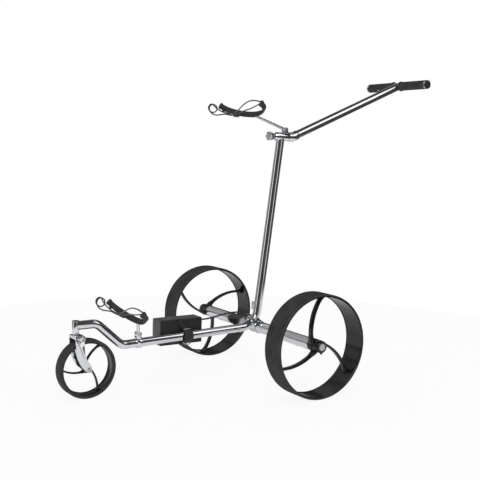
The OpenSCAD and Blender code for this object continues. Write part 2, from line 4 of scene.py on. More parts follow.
import bmesh
import bpy
from mathutils import Matrix, Vector


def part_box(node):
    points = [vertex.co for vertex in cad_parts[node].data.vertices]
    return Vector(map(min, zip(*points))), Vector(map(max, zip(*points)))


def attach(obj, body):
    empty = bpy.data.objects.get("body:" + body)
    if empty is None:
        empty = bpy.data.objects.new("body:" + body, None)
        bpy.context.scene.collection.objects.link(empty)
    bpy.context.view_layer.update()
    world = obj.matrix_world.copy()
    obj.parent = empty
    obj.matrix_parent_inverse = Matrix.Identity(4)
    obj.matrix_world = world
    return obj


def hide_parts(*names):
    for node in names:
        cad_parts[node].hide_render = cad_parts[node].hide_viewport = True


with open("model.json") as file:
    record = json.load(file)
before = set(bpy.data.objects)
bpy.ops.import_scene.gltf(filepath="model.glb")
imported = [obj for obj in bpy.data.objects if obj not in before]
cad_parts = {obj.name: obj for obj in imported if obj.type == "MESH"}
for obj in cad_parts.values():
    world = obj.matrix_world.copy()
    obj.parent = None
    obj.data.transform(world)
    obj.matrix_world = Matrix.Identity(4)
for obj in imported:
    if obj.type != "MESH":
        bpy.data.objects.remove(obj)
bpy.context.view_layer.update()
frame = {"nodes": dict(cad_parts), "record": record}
NODES = frame["nodes"]
RECORD = frame["record"]
MM = 0.001
ACROSS = Vector((1, 0, 0))

# Reference sizes of the frame, in metres
AXLE_Y = sum(corner.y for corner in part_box("tyre_left")) / 2
TUBE_R = (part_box("handle_tube")[1].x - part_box("handle_tube")[0].x) / 2


def centre(node):
    """Middle of a CAD node's box."""
    low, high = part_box(node)
    return (low + high) / 2


def from_axle(x, y, z):
    """A point given in millimetres from the ground under the rear axle's middle."""
    return Vector((x * MM, y * MM + AXLE_Y, z * MM))


# ---- camera --------------------------------------------------------------------------------------

CAMERA_TURN = (56.89, 5.82, 1.47)  # yaw, pitch and roll in degrees
CAMERA_AT = (2149, -1472, 684)  # millimetres from the ground under the rear axle's middle
CAMERA_LENS = 63.5
CAMERA_SENSOR = 36


def add_camera():
    """Long lens in front of the trolley's left side, at about three quarters of its height."""
    yaw, pitch, roll = map(math.radians, CAMERA_TURN)
    forward = Vector((-math.sin(yaw) * math.cos(pitch), math.cos(yaw) * math.cos(pitch), -math.sin(pitch)))
    level_right = Vector((math.cos(yaw), math.sin(yaw), 0))
    level_up = level_right.cross(forward)
    right = math.cos(roll) * level_right + math.sin(roll) * level_up
    up = right.cross(forward)
    data = bpy.data.cameras.new("camera")
    data.sensor_width = CAMERA_SENSOR
    data.lens = CAMERA_LENS
    camera = bpy.data.objects.new("camera", data)
    bpy.context.scene.collection.objects.link(camera)
    turn = Matrix((right, up, -forward)).transposed().to_4x4()
    camera.matrix_world = Matrix.Translation(from_axle(*CAMERA_AT)) @ turn
    bpy.context.scene.camera = camera


# ---- materials -----------------------------------------------------------------------------------

TEXTURE_SPAN = (0.3, 0.7)  # the part of a noise texture's output that most of it lies in


def new_material(name, color, metallic, roughness, **sockets):
    material = bpy.data.materials.new(name)
    material.use_nodes = True
    shader = material.node_tree.nodes["Principled BSDF"]
    shader.inputs["Base Color"].default_value = (*color, 1)
    shader.inputs["Metallic"].default_value = metallic
    shader.inputs["Roughness"].default_value = roughness
    for socket, value in sockets.items():
        shader.inputs[socket.replace("_", " ")].default_value = value
    return material


def object_coords(material, scale=(1, 1, 1)):
    tree = material.node_tree
    coords = tree.nodes.new("ShaderNodeTexCoord")
    mapping = tree.nodes.new("ShaderNodeMapping")
    mapping.inputs["Scale"].default_value = scale
    tree.links.new(coords.outputs["Object"], mapping.inputs["Vector"])
    return mapping.outputs["Vector"]


def noise(material, vector, scale, detail=3.0, rough=0.55):
    tree = material.node_tree
    node = tree.nodes.new("ShaderNodeTexNoise")
    node.inputs["Scale"].default_value = scale
    node.inputs["Detail"].default_value = detail
    node.inputs["Roughness"].default_value = rough
    tree.links.new(vector, node.inputs["Vector"])
    return node.outputs["Fac"]


def voronoi(material, vector, scale):
    tree = material.node_tree
    node = tree.nodes.new("ShaderNodeTexVoronoi")
    node.inputs["Scale"].default_value = scale
    tree.links.new(vector, node.inputs["Vector"])
    return node.outputs["Distance"]


def wave(material, vector, scale, direction):
    tree = material.node_tree
    node = tree.nodes.new("ShaderNodeTexWave")
    node.bands_direction = direction
    node.inputs["Scale"].default_value = scale
    tree.links.new(vector, node.inputs["Vector"])
    return node.outputs["Fac"]


def spread(material, value, low, high, socket):
    """Drives a socket of the shader between low and high by a texture value."""
    tree = material.node_tree
    node = tree.nodes.new("ShaderNodeMapRange")
    node.inputs["From Min"].default_value = TEXTURE_SPAN[0]
    node.inputs["From Max"].default_value = TEXTURE_SPAN[1]
    node.inputs["To Min"].default_value = low
    node.inputs["To Max"].default_value = high
    tree.links.new(value, node.inputs["Value"])
    tree.links.new(node.outputs["Result"], tree.nodes["Principled BSDF"].inputs[socket])


def tint(material, value, dark, light, source=TEXTURE_SPAN):
    """Blends the base colour between two shades by a texture value."""
    tree = material.node_tree
    ramp = tree.nodes.new("ShaderNodeValToRGB")
    ramp.color_ramp.elements[0].position = source[0]
    ramp.color_ramp.elements[1].position = source[1]
    ramp.color_ramp.elements[0].color = (*dark, 1)
    ramp.color_ramp.elements[1].color = (*light, 1)
    tree.links.new(value, ramp.inputs["Fac"])
    tree.links.new(ramp.outputs["Color"], tree.nodes["Principled BSDF"].inputs["Base Color"])


def bump(material, value, depth):
    """Adds relief of the given depth in metres; calls stack on one another."""
    tree = material.node_tree
    shader = tree.nodes["Principled BSDF"]
    node = tree.nodes.new("ShaderNodeBump")
    node.inputs["Distance"].default_value = depth
    tree.links.new(value, node.inputs["Height"])
    before = shader.inputs["Normal"].links
    if before:
        tree.links.new(before[0].from_socket, node.inputs["Normal"])
    tree.links.new(node.outputs["Normal"], shader.inputs["Normal"])


def grey(value):
    """A grey a trace towards blue."""
    return (value, value, value * 1.02)


def math_node(tree, operation, *values):
    """Output of a maths node fed with numbers or other nodes' outputs."""
    node = tree.nodes.new("ShaderNodeMath")
    node.operation = operation
    for socket, value in zip(node.inputs, values):
        if isinstance(value, (int, float)):
            socket.default_value = value
        else:
            tree.links.new(value, socket)
    return node.outputs[0]


def make_chrome():
    material = new_material("polished_chrome", (0.86, 0.87, 0.89), 1.0, 0.07)
    where = object_coords(material)
    spread(material, noise(material, where, 40, 2), 0.06, 0.1, "Roughness")
    bump(material, noise(material, where, 300, 2), 0.000001)
    return material


def make_steel():
    material = new_material("plain_steel", grey(0.55), 1.0, 0.32)
    where = object_coords(material)
    tint(material, noise(material, where, 90, 4), grey(0.46), grey(0.66))
    spread(material, noise(material, where, 160, 3), 0.24, 0.42, "Roughness")
    bump(material, noise(material, object_coords(material, (1, 8, 8)), 500, 2), 0.00001)
    return material


def make_silver_plastic():
    material = new_material("silver_plastic", grey(0.42), 0.35, 0.34)
    where = object_coords(material)
    tint(material, noise(material, where, 150, 3), grey(0.36), grey(0.50))
    bump(material, noise(material, where, 1800, 2), 0.00001)
    return material


def make_battery_plastic():
    material = new_material("battery_plastic", grey(0.06), 0.0, 0.5)
    where = object_coords(material)
    tree = material.node_tree
    facing = tree.nodes.new("ShaderNodeSeparateXYZ")
    tree.links.new(tree.nodes.new("ShaderNodeTexCoord").outputs["Normal"], facing.inputs["Vector"])
    # Near-black on the faces that look along X: partly the label on the sides, partly painted shade that
    # keeps these sides darker than the lit end and top
    side = math_node(tree, "MULTIPLY", math_node(tree, "ABSOLUTE", facing.outputs["X"]), 0.9)
    shade = math_node(tree, "SUBTRACT", noise(material, where, 60, 4), side)
    tint(material, shade, grey(0.011), grey(0.075), (-0.3, 0.55))
    spread(material, noise(material, where, 300, 3), 0.42, 0.62, "Roughness")
    bump(material, voronoi(material, where, 1100), 0.00006)
    return material


def make_wheel_plastic():
    material = new_material("wheel_plastic", grey(0.004), 0.0, 0.16, Specular_IOR_Level=0.5)
    where = object_coords(material)
    tint(material, noise(material, where, 30, 4), grey(0.0025), grey(0.008))
    spread(material, noise(material, where, 120, 3), 0.12, 0.22, "Roughness")
    bump(material, noise(material, where, 1500, 2), 0.000015)
    return material


def make_tread_rubber():
    material = new_material("tread_rubber", grey(0.045), 0.0, 0.72, Specular_IOR_Level=0.4)
    where = object_coords(material)
    tint(material, noise(material, where, 26, 5, 0.65), grey(0.017), grey(0.036))
    spread(material, noise(material, where, 180, 4), 0.6, 0.85, "Roughness")
    bump(material, noise(material, where, 1400, 3), 0.00006)
    return material


def make_soft_rubber():
    material = new_material("soft_rubber", grey(0.02), 0.0, 0.6)
    where = object_coords(material)
    tint(material, noise(material, where, 70, 4), grey(0.014), grey(0.03))
    spread(material, noise(material, where, 260, 3), 0.5, 0.74, "Roughness")
    bump(material, voronoi(material, where, 1500), 0.00004)
    return material


def make_webbing():
    material = new_material("strap_webbing", grey(0.012), 0.0, 0.9, Sheen_Weight=0.1, Sheen_Roughness=0.5)
    where = object_coords(material)
    tint(material, noise(material, where, 120, 4), grey(0.006), grey(0.018))
    bump(material, wave(material, where, 320, "Y"), 0.00025)
    bump(material, wave(material, where, 260, "DIAGONAL"), 0.0002)
    return material


def make_braid():
    material = new_material("cord_braid", grey(0.014), 0.0, 0.7, Sheen_Weight=0.3, Sheen_Roughness=0.5)
    where = object_coords(material)
    # Darker where the bump is low: painted shade in the hollows of the braid
    tint(material, voronoi(material, where, 620), grey(0.008), grey(0.026), (0.1, 0.6))
    bump(material, voronoi(material, where, 620), 0.0003)
    return material


def make_cell_wrap():
    material = new_material("cell_wrap", (0.05, 0.14, 0.36), 0.0, 0.25)
    where = object_coords(material)
    tint(material, noise(material, where, 80, 3), (0.04, 0.11, 0.3), (0.07, 0.18, 0.42))
    bump(material, noise(material, where, 300, 3), 0.00003)
    return material


def make_board():
    material = new_material("circuit_board", (0.01, 0.09, 0.035), 0.0, 0.35)
    where = object_coords(material)
    tint(material, voronoi(material, where, 260), (0.006, 0.06, 0.02), (0.02, 0.13, 0.05))
    bump(material, voronoi(material, where, 500), 0.0001)
    return material


def make_winding():
    material = new_material("copper_winding", (0.6, 0.28, 0.12), 0.9, 0.3)
    where = object_coords(material)
    # Darker where the bump is low: painted shade in the grooves between the turns
    tint(material, wave(material, where, 500, "X"), (0.4, 0.16, 0.06), (0.7, 0.36, 0.17))
    bump(material, wave(material, where, 500, "X"), 0.0003)
    return material


MATERIALS = {
    "polished_chrome": make_chrome(),
    "plain_steel": make_steel(),
    "silver_plastic": make_silver_plastic(),
    "battery_plastic": make_battery_plastic(),
    "wheel_plastic": make_wheel_plastic(),
    "tread_rubber": make_tread_rubber(),
    "soft_rubber": make_soft_rubber(),
    "strap_webbing": make_webbing(),
    "cell_wrap": make_cell_wrap(),
    "circuit_board": make_board(),
    "copper_winding": make_winding(),
}
BRAID = make_braid()


def finish_cad_nodes():
    """Puts each CAD node's material on its own slot."""
    for part in RECORD["subparts"]:
        mesh = NODES[part["node"]].data
        mesh.materials.clear()
        mesh.materials.append(MATERIALS[part["material_slot"]])


# ---- pieces --------------------------------------------------------------------------------------


def add_piece(name, mesh, body, slot, replaces=(), material=None):
    """Puts a finished mesh or curve into the scene as one piece of the object."""
    mesh.materials.append(material or MATERIALS[slot])
    piece = bpy.data.objects.new(name, mesh)
    bpy.context.scene.collection.objects.link(piece)
    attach(piece, body)
    if replaces:
        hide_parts(*replaces)
    return piece


def smooth_mesh(name, bm, angle=35):
    """Turns a bmesh into a mesh, smooth except across edges sharper than the angle."""
    bmesh.ops.recalc_face_normals(bm, faces=bm.faces)
    for face in bm.faces:
        face.smooth = True
    limit = math.radians(angle)
    for edge in bm.edges:
        edge.smooth = len(edge.link_faces) == 2 and edge.calc_face_angle(0) < limit
    mesh = bpy.data.meshes.new(name)
    bm.to_mesh(mesh)
    bm.free()
    return mesh


def lathe(bm, profile, steps, middle):
    """Turns a closed outline of (along X, radius) points round the X axis through middle."""
    rings = []
    for k in range(steps):
        angle = 2 * math.pi * k / steps
        spoke = Vector((0, math.cos(angle), math.sin(angle)))
        rings.append([bm.verts.new(middle + Vector((x, 0, 0)) + spoke * r) for x, r in profile])
    count = len(profile)
    for k in range(steps):
        here, there = rings[k], rings[(k + 1) % steps]
        for i in range(count):
            j = (i + 1) % count
            bm.faces.new((here[i], here[j], there[j], there[i]))


def loft(bm, sections):
    """Skins rings of points that all have the same count, and caps both ends."""
    rings = [[bm.verts.new(point) for point in ring] for ring in sections]
    count = len(rings[0])
    for here, there in zip(rings, rings[1:]):
        for i in range(count):
            j = (i + 1) % count
            bm.faces.new((here[i], here[j], there[j], there[i]))
    bm.faces.new(rings[0][::-1])
    bm.faces.new(rings[-1])


def oval(width, thick, power=4.0, steps=16):
    """Points of a rounded rectangle round the origin, as (across the width, through the thickness)."""
    ring = []
    for k in range(steps):
        a = 2 * math.pi * k / steps
        c, s = math.cos(a), math.sin(a)
        ring.append((math.copysign(abs(c) ** (2 / power), c) * width / 2,
                     math.copysign(abs(s) ** (2 / power), s) * thick / 2))
    return ring


def band(bm, path, width_dir, sizes, power=4.0):
    """Lofts a flat band along a path; sizes gives the width and the thickness at each point."""
    sections = []
    last = len(path) - 1
    for i, point in enumerate(path):
        along = (path[min(i + 1, last)] - path[max(i - 1, 0)]).normalized()
        wide = (width_dir - along * width_dir.dot(along)).normalized()
        thin = along.cross(wide)
        sections.append([point + wide * w + thin * t for w, t in oval(*sizes[i], power)])
    loft(bm, sections)


def bell(distance, reach):
    """1 at no distance, falling smoothly to nothing past the reach."""
    return math.exp(-(distance / reach) ** 2)


# ---- wheels --------------------------------------------------------------------------------------

SPOKES = 3
SPOKE_OFFSET = 0.93  # distance of a spoke's arc centre from the hub, as a share of the arc's radius
SPOKE_TURN = 68.6  # degrees round the hub between an arc's centre and the spoke's phase
SPOKE_SWEEP = 60
SPOKE_STEPS = 30
REAR_ARC = 1.06  # radius of the spokes' arc as a share of the wheel's radius
FRONT_ARC = 1.064
FRONT_PHASE = 57
SHOULDER_STEPS = 4
REAR_STEPS = 144
FRONT_STEPS = 112
LIP = 0.5 * MM
REAR_HUB = [(-14.5, 6.05), (-14.5, 17.6), (-13.5, 18.5), (4.4, 18.5), (5.5, 17.9), (6, 16.6), (9, 16.6),
            (9.6, 17.5), (28.5, 17.5), (31, 16.8), (32.5, 15.3), (32.5, 11.2), (31.6, 10.3), (21.2, 10.2),
            (21, 6.05)]
FRONT_HUB = [(-21, 4.05), (-21, 8.4), (-20.3, 9), (-10, 9), (-9, 11.2), (-8, 12), (8, 12), (9, 11.2), (10, 9),
             (20.3, 9), (21, 8.4), (21, 4.05)]
# A groove's cut: across as a share of its width, and depth as a share of the full depth
GROOVE = ((-0.5, 0), (-0.36, 0.8), (-0.2, 1), (0.2, 1), (0.36, 0.8), (0.5, 0))
RIVET_R = 3.2
RIVET_OUT = 7.4
RIVET_FLAT = 0.6
RIVET_REACH = 0.955


def add_tyre(name, node, body, grooves, groove_w, groove_d, shoulder):
    """Tread band with a soft shoulder and grooves that run round it."""
    low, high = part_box(node)
    middle = (low + high) / 2
    outer = (high.z - low.z) / 2
    half = (high.x - low.x) / 2
    inner = outer - shoulder[1]
    top = [(-half, inner), (-half, outer - shoulder[1] * 0.55)]
    for k in range(SHOULDER_STEPS + 1):
        a = math.radians(90 * k / SHOULDER_STEPS)
        top.append((-half + shoulder[0] * (1 - math.cos(a)), outer - shoulder[1] * 0.5 * (1 - math.sin(a))))
    for x in grooves:
        for side, deep in GROOVE:
            top.append((x + side * groove_w, outer - deep * groove_d))
    top += [(-x, r) for x, r in reversed(top[:SHOULDER_STEPS + 3])]
    bm = bmesh.new()
    lathe(bm, top, REAR_STEPS, middle)
    add_piece(name, smooth_mesh(name, bm, 40), body, "tread_rubber", [node])


def spoke_path(angle, arc_r, reach):
    """One curved spoke from inside the hub to the rim, as points across Y and Z round the hub."""
    points = []
    centre_y = arc_r * SPOKE_OFFSET * math.cos(angle)
    centre_z = arc_r * SPOKE_OFFSET * math.sin(angle)
    for k in range(SPOKE_STEPS + 1):
        a = angle + math.radians(180 - SPOKE_SWEEP * k / SPOKE_STEPS)
        y, z = centre_y + arc_r * math.cos(a), centre_z + arc_r * math.sin(a)
        if math.hypot(y, z) < reach:
            points.append((y, z))
    return points


def spoke_angle(phase, i):
    return math.radians(phase + 360 / SPOKES * i - SPOKE_TURN)


def add_spokes(bm, middle, phase, arc_r, reach, hub_r, width, thick):
    """Curved spokes that widen where they meet the hub and the rim."""
    for i in range(SPOKES):
        flat = spoke_path(spoke_angle(phase, i), arc_r, reach)
        path = [middle + Vector((0, y, z)) for y, z in flat]
        sizes = []
        for y, z in flat:
            r = math.hypot(y, z)
            root, end = bell(r - hub_r, hub_r * 0.55), bell(r - reach, reach * 0.075)
            sizes.append((width * (1 + 0.2 * root + 0.12 * end), thick * (1 + 0.85 * root + 1.1 * end)))
        band(bm, path, ACROSS, sizes, 3.2)


def add_drive_wheel(side, node, phase):
    """Rear wheel: thin glossy rim with rolled lips, three flared spokes and a stepped hub."""
    low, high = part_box("tyre_" + side)
    middle = (low + high) / 2
    sign = 1 if side == "left" else -1
    rear_r = (high.z - low.z) / 2
    half = (high.x - low.x) / 2 - LIP
    rim = [(-half, rear_r - 3.6 * MM), (-half, rear_r - 6.6 * MM), (-half + 1 * MM, rear_r - 7.6 * MM),
           (-half + 2.4 * MM, rear_r - 7.6 * MM), (-half + 4 * MM, rear_r - 6.3 * MM)]
    rim += [(-x, r) for x, r in reversed(rim)]
    bm = bmesh.new()
    lathe(bm, rim, REAR_STEPS, middle)
    reach = rear_r - 5.5 * MM
    add_spokes(bm, middle, phase, REAR_ARC * rear_r, reach, 19 * MM, 18 * MM, 7 * MM)
    lathe(bm, [(sign * x * MM, r * MM) for x, r in REAR_HUB], 64, middle)
    lug = [middle + Vector((sign * 28 * MM, 0, -z * MM)) for z in (16, 19, 21, 22)]
    band(bm, lug, ACROSS, [(d * MM, d * MM) for d in (8, 6, 4, 1)], 2.5)
    name = "rear_wheel_" + side
    add_piece(name, smooth_mesh(name, bm, 38), side + "_wheel", "wheel_plastic", [node])
    add_rivets(side, middle, phase, REAR_ARC * rear_r, reach)


def add_rivets(side, middle, phase, arc_r, reach):
    """Pair of small bright screws where each spoke meets the rim."""
    bm = bmesh.new()
    for i in range(SPOKES):
        y, z = spoke_path(spoke_angle(phase, i), arc_r, reach * RIVET_REACH)[-1]
        at = middle + Vector((0, y, z))
        for x in (-RIVET_OUT, RIVET_OUT):
            turn = Matrix.Translation(at + Vector((x * MM, 0, 0))) @ Matrix.Scale(RIVET_FLAT, 4, ACROSS)
            bmesh.ops.create_uvsphere(bm, u_segments=16, v_segments=8, radius=RIVET_R * MM, matrix=turn)
    name = "spoke_ends_" + side
    add_piece(name, smooth_mesh(name, bm, 60), side + "_wheel", "plain_steel")


def add_front_wheel():
    """Nose wheel: rolled rim, three flared spokes and a stepped hub."""
    low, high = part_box("front_tyre")
    middle = (low + high) / 2
    front_r = (high.z - low.z) / 2
    half = (high.x - low.x) / 2 - LIP
    rim = [(-half, front_r - 6.1 * MM), (-half, front_r - 10.4 * MM), (-half + 1 * MM, front_r - 11.2 * MM),
           (-half + 2.4 * MM, front_r - 11.2 * MM), (-half + 4 * MM, front_r - 10 * MM)]
    rim += [(-x, r) for x, r in reversed(rim)]
    bm = bmesh.new()
    lathe(bm, rim, FRONT_STEPS, middle)
    add_spokes(bm, middle, FRONT_PHASE, FRONT_ARC * front_r, front_r - 9 * MM, 12 * MM, 11 * MM, 5 * MM)
    lathe(bm, [(x * MM, r * MM) for x, r in FRONT_HUB], 48, middle)
    add_piece("nose_wheel_body", smooth_mesh("nose_wheel_body", bm, 38), "nose_wheel", "wheel_plastic",
              ["front_wheel"])


# ---- bag arms and strap --------------------------------------------------------------------------

ARM_MID_R = 195
ARM_END_R = 50
ARM_MID_DEG = 25.5
ARM_END_DEG = 76
ARM_SEAT = 6  # from the seat to the middle line
ARM_STEPS = 12  # for each of the two arcs of half an arm
ARM_TIP = (110.9, 58)
TIP_HEIGHTS = (-9.2, -8, -4, 0, 4, 8, 9.2)
TIP_WIDTHS = (7, 10, 11.4, 11.4, 11.4, 10, 7)
# Knobs that hold the cord: place in the arm's own frame and radius
ARM_KNOBS = ((-80, 16.9, -5, 9), (-71, 12, -6, 6.2), (-104, 46, -8, 5.6))
KNOB_FLAT = 0.86


def arm_line():
    """Middle line of a bag arm from one tip to the other, millimetres in the arm's own frame."""
    half = []
    for k in range(ARM_STEPS + 1):
        a = math.radians(ARM_MID_DEG * k / ARM_STEPS)
        half.append((ARM_MID_R * math.sin(a), ARM_SEAT + ARM_MID_R * (1 - math.cos(a))))
    a0 = math.radians(ARM_MID_DEG)
    cx, cy = half[-1][0] - ARM_END_R * math.sin(a0), half[-1][1] + ARM_END_R * math.cos(a0)
    for k in range(1, ARM_STEPS + 1):
        a = math.radians(ARM_MID_DEG + (ARM_END_DEG - ARM_MID_DEG) * k / ARM_STEPS)
        half.append((cx + ARM_END_R * math.sin(a), cy - ARM_END_R * math.cos(a)))
    return [(-x, y) for x, y in reversed(half[1:])] + half


def add_arm(which):
    """Rubber-covered bag arm with its seat, rolled tips and the cord knobs on the far side."""
    line = arm_line()
    count = len(line)
    bm = bmesh.new()
    path = [Vector((x, y, 0)) * MM for x, y in line]
    sizes = []
    for i in range(count):
        t = abs(2 * i / (count - 1) - 1)
        close = min(1, (1 - t) * 18 + 0.35)
        sizes.append(((19 - 3 * t ** 3) * MM * close, (5.6 + 2.6 * t ** 6) * MM * close))
    band(bm, path, Vector((0, 0, 1)), sizes, 3.4)
    for sign in (-1, 1):
        tip = Vector((sign * ARM_TIP[0], ARM_TIP[1], 0)) * MM
        lump = [tip + Vector((0, 0, z * MM)) for z in TIP_HEIGHTS]
        band(bm, lump, ACROSS, [(d * MM, d * MM) for d in TIP_WIDTHS], 2)
    seat = [Vector((0, y, 0)) * MM for y in (-1, 1, 5, 8)]
    seat_sizes = ((15, 13), (18, 15.5), (19, 17), (30, 17))
    band(bm, seat, ACROSS, [(wide * MM, thick * MM) for wide, thick in seat_sizes], 3.4)
    for x, y, z, r in ARM_KNOBS:
        knob = Matrix.Translation(Vector((x, y, z)) * MM) @ Matrix.Scale(KNOB_FLAT, 4, Vector((0, 0, 1)))
        bmesh.ops.create_uvsphere(bm, u_segments=24, v_segments=14, radius=r * MM, matrix=knob)
    mesh = smooth_mesh(which + "_bag_arm", bm, 42)
    mesh.transform(ARMS[which])
    add_piece(which + "_bag_arm", mesh, which + "_bracket", "soft_rubber", [which + "_arm"])


STRAP_W = 22
STRAP_THICK = 1.7
STRAP_SHIFT = 3
STRAP_STEPS = 24
STRAP_END_DEG = 118  # how far round the tube the wrap reaches each way
STRAP_REACH = 26  # from the tube's middle to where the strap meets the battery
LAYERS = (0.0, 1.9)
RING_WIRE_R = 1.3
RING_CORNERS = ((-5, -9), (5, -9), (5, 9), (-5, 9))


def add_strap():
    """Loose wrap of webbing round the tube: two layers, and a tail up the battery's side."""
    low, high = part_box("battery_strap")
    y = (low.y + high.y) / 2 + STRAP_SHIFT * MM
    middle = Vector((0, y, (low.z + high.z) / 2))
    bm = bmesh.new()
    for layer, extra in enumerate(LAYERS):
        path, sizes = [], []
        for k in range(STRAP_STEPS + 1):
            a = math.radians(STRAP_END_DEG - 2 * STRAP_END_DEG * k / STRAP_STEPS)
            out = TUBE_R + (2.2 + extra) * MM + 2.6 * MM * bell(a, 0.9)
            bulge = max(0.0, math.cos(a)) ** 0.8
            beside = (a * 1.4 + layer) * MM
            path.append(middle + Vector((out * math.cos(a), beside, out * math.sin(a) * 1.12)))
            sizes.append(((STRAP_W / 2 + 19 * bulge) * MM, STRAP_THICK * MM))
        if layer == 0:
            path.insert(0, Vector((low.x, y, middle.z + STRAP_REACH * MM)))
            path.append(Vector((low.x, y, middle.z - STRAP_REACH * MM)))
            sizes.insert(0, (STRAP_W * MM, STRAP_THICK * MM))
            sizes.append((STRAP_W * MM, STRAP_THICK * MM))
        band(bm, path, Vector((0, 1, 0)), sizes, 5)
    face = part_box("battery_case")[1].x / MM + 1.2
    route = ((4, 0, 15), ((face + 4) / 2, -5, 22), (face + 1, -11, 30), (face, -17, 38), (face, -23, 45))
    tail = [middle + Vector(p) * MM for p in route]
    band(bm, tail, Vector((0, 1, 0.5)), [(d * MM, 1.6 * MM) for d in (14, 13, 12, 11, 9)], 5)
    add_piece("strap_wrap", smooth_mesh("strap_wrap", bm, 50), "frame", "strap_webbing", ["battery_strap"])
    add_strap_rings(middle)


def add_strap_rings(middle):
    """Wire rings that the strap is threaded through, above and under the tube."""
    data = bpy.data.curves.new("strap_wire", "CURVE")
    data.dimensions = "3D"
    data.bevel_depth = RING_WIRE_R * MM
    data.bevel_resolution = 4
    data.resolution_u = 8
    for sign in (-1, 1):
        spline = data.splines.new("BEZIER")
        spline.bezier_points.add(len(RING_CORNERS) - 1)
        spline.use_cyclic_u = True
        for knot, (out, along) in zip(spline.bezier_points, RING_CORNERS):
            knot.co = middle + Vector((5 + out * 0.9, along, sign * (19 + out * 0.55))) * MM
            knot.handle_left_type = knot.handle_right_type = "AUTO"
    add_piece("strap_wire", data, "frame", "plain_steel", ["strap_rings"])


# ---- handle ends and knob ------------------------------------------------------------------------


def on_bar(name, parts, steps, bar, slot, replaces):
    """One handle piece made of lathe outlines in millimetres along the crossbar."""
    bm = bmesh.new()
    for outline in parts:
        lathe(bm, [(x * MM, r * MM) for x, r in outline], steps, Vector((0, bar.y, bar.z)))
    return add_piece(name, smooth_mesh(name, bm, 38), "handle", slot, replaces)


def flipped(outline):
    return [(-x, r) for x, r in outline]


def add_handle_ends():
    """Both grips, their bright rings and their end caps."""
    bar = centre("handle_crossbar")
    low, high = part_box("grip_left")
    x0, x1 = low.x / MM, high.x / MM
    sleeve = [(0, 12.6), (0, 14.6), (1, 16), (3.4, 16.5), (6, 16.2), (9, 15), (12, 14.5)]
    tail = [(-1.4, 14.5), (-0.3, 14.1), (0, 13.4), (0, 12.6)]
    outline = [(x0 + x, r) for x, r in sleeve] + [(x1 + 2.4 + x, r) for x, r in tail]
    on_bar("grip_near", [outline], 72, bar, "soft_rubber", ["grip_left"])
    grip = on_bar("grip_far", [flipped(outline)], 72, bar, "soft_rubber", ["grip_right"])
    cut_knob_opening(grip, bar)
    ring = [(x1 + 2.5, 12.6), (x1 + 2.5, 14.3), (x1 + 3, 14.7), (x1 + 4.3, 14.7), (x1 + 4.8, 14.3),
            (x1 + 4.8, 12.6)]
    on_bar("end_rings", [ring, flipped(ring)], 64, bar, "polished_chrome", ["grip_rings"])
    cap = [(x1 + 4.9, 10.9), (x1 + 4.9, 14.1), (x1 + 6.4, 14.2), (x1 + 8, 13.5), (x1 + 9.2, 11.6),
           (x1 + 9.8, 8), (x1 + 10, 4), (x1 + 10, 0.02), (x1 + 5, 0.02)]
    on_bar("end_caps", [cap, flipped(cap)], 64, bar, "battery_plastic", ["grip_caps"])


def carve(piece, cutter_bm, operation):
    """Cuts a piece's mesh with a closed cutter, or keeps only what lies inside it."""
    cutter_mesh = bpy.data.meshes.new("cutter")
    cutter_bm.to_mesh(cutter_mesh)
    cutter_bm.free()
    cutter = bpy.data.objects.new("cutter", cutter_mesh)
    bpy.context.scene.collection.objects.link(cutter)
    cut = piece.modifiers.new("cut", "BOOLEAN")
    cut.operation = operation
    cut.object = cutter
    cut.solver = "EXACT"
    graph = bpy.context.evaluated_depsgraph_get()
    mesh = bpy.data.meshes.new_from_object(piece.evaluated_get(graph))
    piece.modifiers.clear()
    piece.data = mesh
    bpy.data.objects.remove(cutter)


OPENING_R = 12.5 * MM
OPENING_DEPTH = 32 * MM


def cut_knob_opening(grip, bar):
    """Round opening under the far grip that the speed knob sits in."""
    bm = bmesh.new()
    spot = centre("speed_knob")
    place = Matrix.Translation(Vector((spot.x, bar.y, bar.z - OPENING_DEPTH / 2)))
    bmesh.ops.create_cone(bm, cap_ends=True, segments=48, radius1=OPENING_R, radius2=OPENING_R,
                          depth=OPENING_DEPTH, matrix=place)
    carve(grip, bm, "DIFFERENCE")


# Distance from the knob's front face and radius over the lobes, millimetres
STAR_OUTLINE = [(0, 4), (0.2, 10.5), (1.2, 13.4), (3, 14.8), (7, 14.6), (11, 13.2), (15, 11.2), (19, 9.4),
                (22, 8.6), (23.6, 8.4)]
STAR_STEPS = 96
STAR_LOBES = 6
LOBE_DEPTH = 0.26


def add_star_knob():
    """Six-lobed clamp knob that narrows to a neck at the casting."""
    low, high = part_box("star_knob")
    axis_x, axis_z = (low.x + high.x) / 2, (low.z + high.z) / 2
    sections = []
    for along, radius in STAR_OUTLINE:
        depth = LOBE_DEPTH * min(1, max(0, (20 - along) / 14)) if radius > 5 else 0
        ring = []
        for k in range(STAR_STEPS):
            a = 2 * math.pi * k / STAR_STEPS
            lobe = abs(math.cos(STAR_LOBES / 2 * a)) ** 0.7
            r = radius * (1 - depth * (1 - lobe)) * MM
            ring.append(Vector((axis_x + r * math.cos(a), low.y + along * MM, axis_z + r * math.sin(a))))
        sections.append(ring)
    bm = bmesh.new()
    loft(bm, sections)
    mesh = smooth_mesh("clamp_star", bm, 50)
    add_piece("clamp_star", mesh, "clamp_screw", "polished_chrome", ["star_knob"])


MERGE_GAP = 0.02 * MM
FLAT_DEG = 1.5
EDGE_DEG = 30


